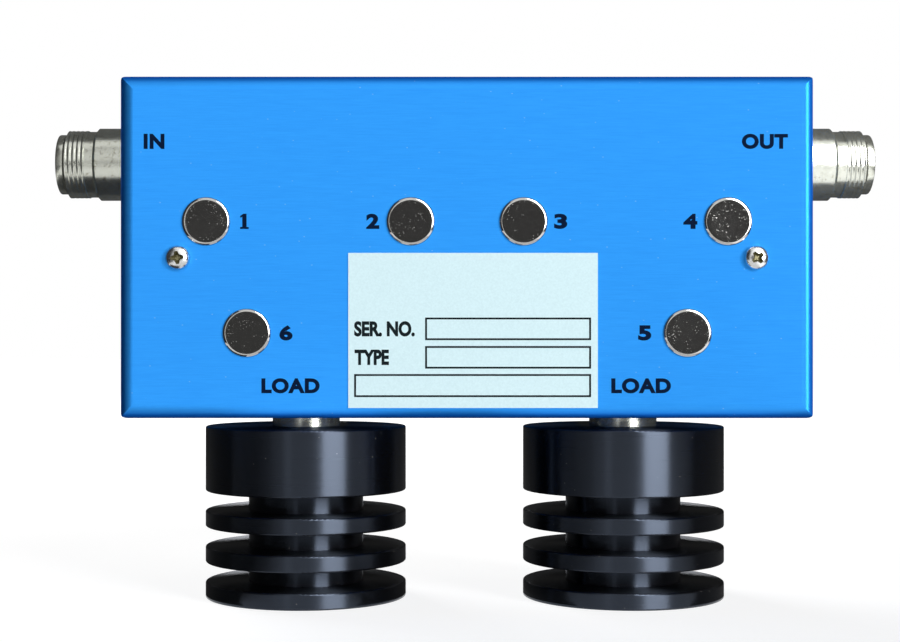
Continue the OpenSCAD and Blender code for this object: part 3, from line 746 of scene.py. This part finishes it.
def tuning_plugs():
    """The six plugs as one piece, each in the middle of its solid and against the cover."""
    nodes = [f"tuning_plug_{i}" for i in range(1, 7)]
    places = []
    for node in nodes:
        lo, hi = box_mm(node)
        places.append([(lo[0] + hi[0]) / 2 * MM, FRONT_Y * MM, (lo[2] + hi[2]) / 2 * MM])
    data = bpy.data.meshes.new("places")
    data.from_pydata(places, [], [])
    host = bpy.data.objects.new("places", data)
    head = bpy.data.objects.new("head", plug_head())
    finger = bpy.data.objects.new("finger", plug_finger())
    for obj in (host, head, finger):
        scene.collection.objects.link(obj)
    modifier = host.modifiers.new("plugs", "NODES")
    modifier.node_group = plug_tree()
    values = {"Head": head, "Finger": finger, "Fingers": PLUG_FINGERS,
              "Finish": FINISHES["tinned_steel"]}
    for item in modifier.node_group.interface.items_tree:
        if item.in_out == "INPUT" and item.name in values:
            modifier[item.identifier] = values[item.name]
    mesh = evaluated_mesh(host)
    for obj in (host, head, finger):
        bpy.data.objects.remove(obj)
    piece = new_piece("tuning_plug_set", mesh, FINISHES["tinned_steel"], 40)
    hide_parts(*nodes)


tuning_plugs()


# Cover screws


def crossed_recess():
    """A four-pointed driver recess that narrows to its bottom, as a cutter below Z = 0."""
    rings = []
    for height, share in ((RECESS_SPARE, 1.0), (0.0, 1.0), (-RECESS_DEPTH, RECESS_TAPER)):
        tip = RECESS_SPAN / 2 * share
        wing = RECESS_W / 2 * share * RECESS_TIP
        heel = RECESS_W / 2 * share * RECESS_HEEL
        outline = [(tip, -wing), (tip, wing), (heel, heel), (wing, tip), (-wing, tip),
                   (-heel, heel), (-tip, wing), (-tip, -wing), (-heel, -heel), (-wing, -tip),
                   (wing, -tip), (heel, -heel)]
        rings.append([(x * MM, y * MM, height * MM) for x, y in outline])
    return lofted("recess", rings)


def pan_head_screw(turn):
    """A pan-head screw about Z with a flattened dome, its seat at Z = 0 and its recess turned by
    some degrees. Its second material is for the recess's walls and bottom."""
    slopes = [math.radians(DOME_STEP_DEG * k) for k in range(DOME_STEPS + 1)]
    dome = [(SCREW_HEAD_D / 2 * math.cos(t) ** DOME_FULLNESS,
             SCREW_SIDE_H + (SCREW_HEAD_H - SCREW_SIDE_H) * math.sin(t) ** DOME_FULLNESS)
            for t in slopes]
    profile = [(AXIS_R, -SCREW_LEN), (SCREW_SHANK_D / 2, -SCREW_LEN), (SCREW_SHANK_D / 2, 0),
               (SCREW_HEAD_D / 2, 0)] + dome + [(AXIS_R, SCREW_HEAD_H)]
    recess = crossed_recess()
    recess.transform(moved(0, 0, SCREW_HEAD_H) @ rotated(turn, "Z"))
    mesh = cut_mesh(turned(profile, SCREW_SIDES), [recess])
    for face in mesh.polygons:
        r = math.hypot(face.center.x, face.center.y) / MM
        above = face.center.z / MM - (SCREW_HEAD_H - RECESS_DEPTH)
        within = r < RECESS_SPAN / 2 + RECESS_NEAR and above > -RECESS_NEAR
        wall = face.normal.z < RECESS_WALL
        face.material_index = int(within and (above < RECESS_NEAR or wall))
    return mesh


def cover_screws():
    """Both cover screws as one piece, set where their solids are and turned to the front."""
    lo, hi = box_mm("cover_screws")
    x = hi[0] - SCREW_HEAD_D / 2
    z = (lo[2] + hi[2]) / 2
    meshes = []
    for side, turn in SCREW_TURNS:
        mesh = pan_head_screw(turn)
        mesh.transform(moved(side * x, FRONT_Y, z) @ rotated(90, "X"))
        meshes.append(mesh)
    both = joined(meshes)
    marks = [face.material_index for face in both.polygons]
    piece = new_piece("cover_screw_pair", both, FINISHES["plated_screw"], 30)
    piece.data.materials.append(RECESS)
    for face, mark in zip(piece.data.polygons, marks):
        face.material_index = mark
    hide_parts("cover_screws")


cover_screws()


# Print


def thicken(mesh):
    """Gives flat print its ink thickness, towards the front."""
    solid = bmesh.new()
    solid.from_mesh(mesh)
    bmesh.ops.remove_doubles(solid, verts=solid.verts, dist=WELD * MM)
    top = bmesh.ops.extrude_face_region(solid, geom=solid.faces[:])
    raised = [g for g in top["geom"] if isinstance(g, bmesh.types.BMVert)]
    bmesh.ops.translate(solid, vec=(0, -INK_T * MM, 0), verts=raised)
    bmesh.ops.recalc_face_normals(solid, faces=solid.faces)
    solid.to_mesh(mesh)
    solid.free()


def lettering(words, middle, width, y, style):
    """Printed words that face the front, about a middle in X and Z, in millimetres."""
    height, weight, spacing = style
    curve = bpy.data.curves.new("type", "FONT")
    curve.body = words
    curve.size = 1.0
    curve.offset = weight
    curve.space_character = spacing
    curve.resolution_u = 6
    source = bpy.data.objects.new("type", curve)
    scene.collection.objects.link(source)
    mesh = evaluated_mesh(source)
    bpy.data.objects.remove(source)
    xs = [v.co.x for v in mesh.vertices]
    ys = [v.co.y for v in mesh.vertices]
    scale_x = width * MM / (max(xs) - min(xs))
    scale_y = height * MM / (max(ys) - min(ys))
    centre = ((max(xs) + min(xs)) / 2, (max(ys) + min(ys)) / 2)
    for v in mesh.vertices:
        v.co = ((v.co.x - centre[0]) * scale_x + middle[0] * MM, y * MM,
                (v.co.y - centre[1]) * scale_y + middle[1] * MM)
    thicken(mesh)
    return mesh


def figure_one():
    """The figure one, drawn with its flag and foot."""
    mesh = bpy.data.meshes.new("one")
    points = [((ONE_MIDDLE[0] + x) * MM, FRONT_Y * MM, (ONE_MIDDLE[1] + z) * MM) for x, z in ONE]
    mesh.from_pydata(points, [], ONE_FACES)
    thicken(mesh)
    return mesh


def ruled_field(left, bottom, right, top):
    """A ruled rectangle on the label, as four bars of ink."""
    y = LABEL_LO[1]
    bars = [(left, bottom, right, bottom + RULE_W), (left, top - RULE_W, right, top),
            (left, bottom + RULE_W, left + RULE_W, top - RULE_W),
            (right - RULE_W, bottom + RULE_W, right, top - RULE_W)]
    return [block((x0, y - INK_T, z0), (x1, y, z1)) for x0, z0, x1, z1 in bars]


def cover_legends():
    """The words and figures on the cover, as one piece."""
    meshes = [lettering(words, middle, width, FRONT_Y, LEGEND_TYPE)
              for words, middle, width in LEGENDS]
    meshes.append(figure_one())
    new_piece("cover_legends", joined(meshes), INK, 30)


def label_print():
    """The label's ruled fields and their captions, as one piece."""
    x, y, z = LABEL_LO
    meshes = []
    for left, bottom, top in FIELDS:
        meshes += ruled_field(x + left, z + bottom, LABEL_HI[0] - FIELD_MARGIN, z + top)
    for words, middle, width in CAPTIONS:
        meshes.append(lettering(words, (x + middle[0], z + middle[1]), width, y, CAPTION_TYPE))
    new_piece("label_print", joined(meshes), LABEL_INK, 30)


cover_legends()
label_print()


# Studio

# The camera, in millimetres, and where its axis meets the photograph, in pixels
CAMERA_PLACE = (-9.0, -385.0, 59.45)
IMAGE_W = 900
IMAGE_H = 642
AXIS_PX = (426.5, 344)
FOCAL_PX = 1624.7
SENSOR_W = 36.0
CLIP = (0.01, 50)

# Levels: 1 is white. The sky's is for its light alone, and the glow's is its lowest
SKY_LEVEL = 0.05
FLOOR_PAINT = 0.35
FLOOR_GLOW = 0.8

# Sizes in metres: half the floor's side, and how far out its glow starts to grow and is white
FLOOR_REACH = 6
GLOW_RANGE = (0.15, 0.7)
LAMPS_AIM = (0, 0, 0.08)
# How far above the floor a card on it lies, and a card on such a card
CARD_Z = 0.0006
UPPER_Z = 0.0008

# Cards that only reflections see: two opposite corners in metres, and a grey level. The standing
# ones darken the sides of round metal, and those on the floor the gloss of undersides and bends,
# apart from two bright ones that lift it
FLAGS = [
    ("camera_flag", (-0.18, -0.62, 0.0), (0.22, -0.62, 0.20), 0.06),
    ("front_left_flag", (-0.45, -0.60, 0.0), (-0.26, -0.60, 0.9), 0.30),
    ("side_left_flag", (-0.45, -0.60, 0.0), (-0.45, -0.42, 0.9), 0.03),
    ("left_flag", (-0.45, -0.42, 0.0), (-0.45, 0.7, 0.9), 0.04),
    ("right_flag", (0.55, -0.48, 0.0), (0.55, 0.7, 0.9), 0.06),
    ("rear_flag", (-0.6, 0.6, 0.2), (0.6, 0.6, 0.9), 0.11),
    ("rear_strip", (-0.5, 0.5, 0.0), (0.5, 0.5, 0.2), 0.02),
    ("top_flag", (-0.6, -0.18, 0.9), (0.6, 0.8, 0.9), 0.11),
    ("floor_left", (-0.6, -0.6, CARD_Z), (-0.20, 0.6, CARD_Z), 0.03),
    ("floor_right", (0.24, -0.45, CARD_Z), (0.6, 0.6, CARD_Z), 0.03),
    ("floor_front", (-0.10, -0.50, CARD_Z), (0.10, -0.05, CARD_Z), 0.8),
    ("floor_by_load", (-0.16, -0.10, UPPER_Z), (-0.055, 0.05, UPPER_Z), 0.03),
    ("floor_between", (-0.02, -0.06, UPPER_Z), (0.012, 0.06, UPPER_Z), 0.03),
    ("floor_by_port", (0.10, -0.32, CARD_Z), (0.20, -0.05, CARD_Z), 1.5),
    ("floor_behind", (-0.20, -0.02, CARD_Z), (0.24, 0.6, CARD_Z), 0.08),
    ("floor_under_port", (0.08, -0.05, CARD_Z), (0.24, -0.02, CARD_Z), 0.08),
]


def camera():
    """Square on to the front, and shifted so that the object is right of the middle and low."""
    data = bpy.data.cameras.new("camera")
    data.sensor_width = SENSOR_W
    data.lens = FOCAL_PX / IMAGE_W * SENSOR_W
    data.shift_x = (IMAGE_W / 2 - AXIS_PX[0]) / IMAGE_W
    data.shift_y = (AXIS_PX[1] - IMAGE_H / 2) / IMAGE_W
    data.clip_start, data.clip_end = CLIP
    obj = bpy.data.objects.new("camera", data)
    obj.location = [v * MM for v in CAMERA_PLACE]
    obj.rotation_euler = (math.radians(90), 0, 0)
    scene.collection.objects.link(obj)
    scene.camera = obj


def shown_rays(tree):
    """1 for the rays that show a background: from the camera, off gloss and through glass."""
    path = put(tree, "ShaderNodeLightPath").outputs
    seen = put(tree, "ShaderNodeMath", {"operation": "MAXIMUM"},
               {0: path["Is Camera Ray"], 1: path["Is Glossy Ray"]})
    return put(tree, "ShaderNodeMath", {"operation": "MAXIMUM"},
               {0: seen.outputs[0], 1: path["Is Transmission Ray"]}).outputs[0]


def world():
    """White to the camera and in reflections, and a softer level as light."""
    background = bpy.data.worlds.new("studio")
    scene.world = background
    background.use_nodes = True
    tree = background.node_tree
    tree.nodes.clear()
    level = put(tree, "ShaderNodeMapRange", {"To Min": SKY_LEVEL}, {"Value": shown_rays(tree)})
    sky = put(tree, "ShaderNodeBackground", {"Color": (1, 1, 1, 1)},
              {"Strength": level.outputs["Result"]})
    put(tree, "ShaderNodeOutputWorld", links={"Surface": sky.outputs["Background"]})


def staged(name, data):
    """A studio object with an empty material: the object and the material's tree."""
    obj = bpy.data.objects.new(name, data)
    scene.collection.objects.link(obj)
    material = bpy.data.materials.new(name)
    material.use_nodes = True
    material.node_tree.nodes.clear()
    obj.data.materials.append(material)
    return obj, material.node_tree


def floor():
    """A pale floor that keeps the shadow. Where it is seen it glows, up to white further out."""
    mesh = bmesh.new()
    bmesh.ops.create_grid(mesh, x_segments=1, y_segments=1, size=FLOOR_REACH)
    _, tree = staged("floor", as_mesh(mesh, "floor"))
    paint = put(tree, "ShaderNodeBsdfDiffuse", {"Color": (*[FLOOR_PAINT] * 3, 1)})
    coords = put(tree, "ShaderNodeTexCoord").outputs["Object"]
    out = put(tree, "ShaderNodeVectorMath", {"operation": "LENGTH"}, {0: coords})
    level = put(tree, "ShaderNodeMapRange", {
        "From Min": GLOW_RANGE[0], "From Max": GLOW_RANGE[1], "To Min": FLOOR_GLOW},
        {"Value": out.outputs["Value"]})
    strength = put(tree, "ShaderNodeMath", {"operation": "MULTIPLY"},
                   {0: shown_rays(tree), 1: level.outputs["Result"]})
    glow = put(tree, "ShaderNodeEmission", {"Color": (1, 1, 1, 1)},
               {"Strength": strength.outputs[0]})
    both = put(tree, "ShaderNodeAddShader", {}, {0: paint.outputs[0], 1: glow.outputs[0]})
    put(tree, "ShaderNodeOutputMaterial", links={"Surface": both.outputs[0]})


def flag(name, corner_a, corner_b, level):
    """A flat card between two opposite corners, square to the axis along which they agree."""
    a, b = Vector(corner_a), Vector(corner_b)
    flat = [i for i in range(3) if a[i] == b[i]][0]
    u, v = [i for i in range(3) if i != flat]
    corners = [a.copy() for _ in range(4)]
    corners[1][u] = corners[2][u] = b[u]
    corners[2][v] = corners[3][v] = b[v]
    data = bpy.data.meshes.new(name)
    data.from_pydata(corners, [], [(0, 1, 2, 3)])
    obj, tree = staged(name, data)
    grey = put(tree, "ShaderNodeEmission", {"Color": (level, level, level, 1), "Strength": 1.0})
    put(tree, "ShaderNodeOutputMaterial", links={"Surface": grey.outputs[0]})
    obj.visible_camera = False
    obj.visible_diffuse = False
    obj.visible_shadow = False
    obj.visible_transmission = False


def soft_light(name, bearing, height, distance, size, radiance, shines_on=()):
    """A rectangular lamp at a bearing in degrees from the front towards the right, in metres and
    watts a square metre and steradian. It lights colours, or shows only in the gloss of the objects
    that it is screened to."""
    place = Vector((distance * math.sin(math.radians(bearing)),
                    -distance * math.cos(math.radians(bearing)), height))
    data = bpy.data.lights.new(name, "AREA")
    data.shape = "RECTANGLE"
    data.size, data.size_y = size
    data.energy = radiance * math.pi * size[0] * size[1]
    obj = bpy.data.objects.new(name, data)
    obj.location = place
    obj.rotation_euler = (Vector(LAMPS_AIM) - place).to_track_quat("-Z", "Y").to_euler()
    obj.visible_camera = False
    obj.visible_glossy = bool(shines_on)
    obj.visible_diffuse = not shines_on
    scene.collection.objects.link(obj)
    if shines_on:
        lit = bpy.data.collections.new(name)
        for piece in shines_on:
            lit.objects.link(piece)
        obj.light_linking.receiver_collection = lit


def frame_parts(*names):
    """The objects of some nodes of the frame."""
    return [frame["nodes"][name] for name in names]


def lamps():
    """Two lamps that light the colours, and six that each draw one highlight. The cover and the
    print on it are satin, so the strip that the bright metal shows is kept off them."""
    satin = ("cover", "rating_label", "cover_legends", "label_print")
    bright = [o for o in scene.objects if o.type == "MESH" and o.name not in satin]
    cover = frame_parts("cover")
    back = frame_parts("tray", "flange_screws")
    loads = frame_parts("load_a_body", "load_b_body")
    soft_light("key", 42, 0.45, 2.40, (0.90, 0.90), 30.5)
    soft_light("rear_left", -140, 0.60, 1.20, (0.80, 0.80), 7.5)
    soft_light("strip", 33, 0.45, 0.80, (0.44, 0.90), 12.0, bright)
    soft_light("sheet_shine", -9, 0.15, 0.55, (0.60, 0.50), 0.56, cover)
    soft_light("low_shine", -25, 0.02, 0.07, (0.15, 0.06), 0.4, cover)
    soft_light("edge_shine", 70, 0.10, 0.50, (0.16, 0.40), 8.0, cover)
    soft_light("back_light", 180, 0.24, 0.45, (1.30, 0.44), 3.0, back)
    soft_light("back_strip", 180, 0.42, 0.45, (0.14, 0.40), 8.0, loads)


camera()
world()
floor()
for card in FLAGS:
    flag(*card)
lamps()

scene.view_settings.view_transform = "Standard"
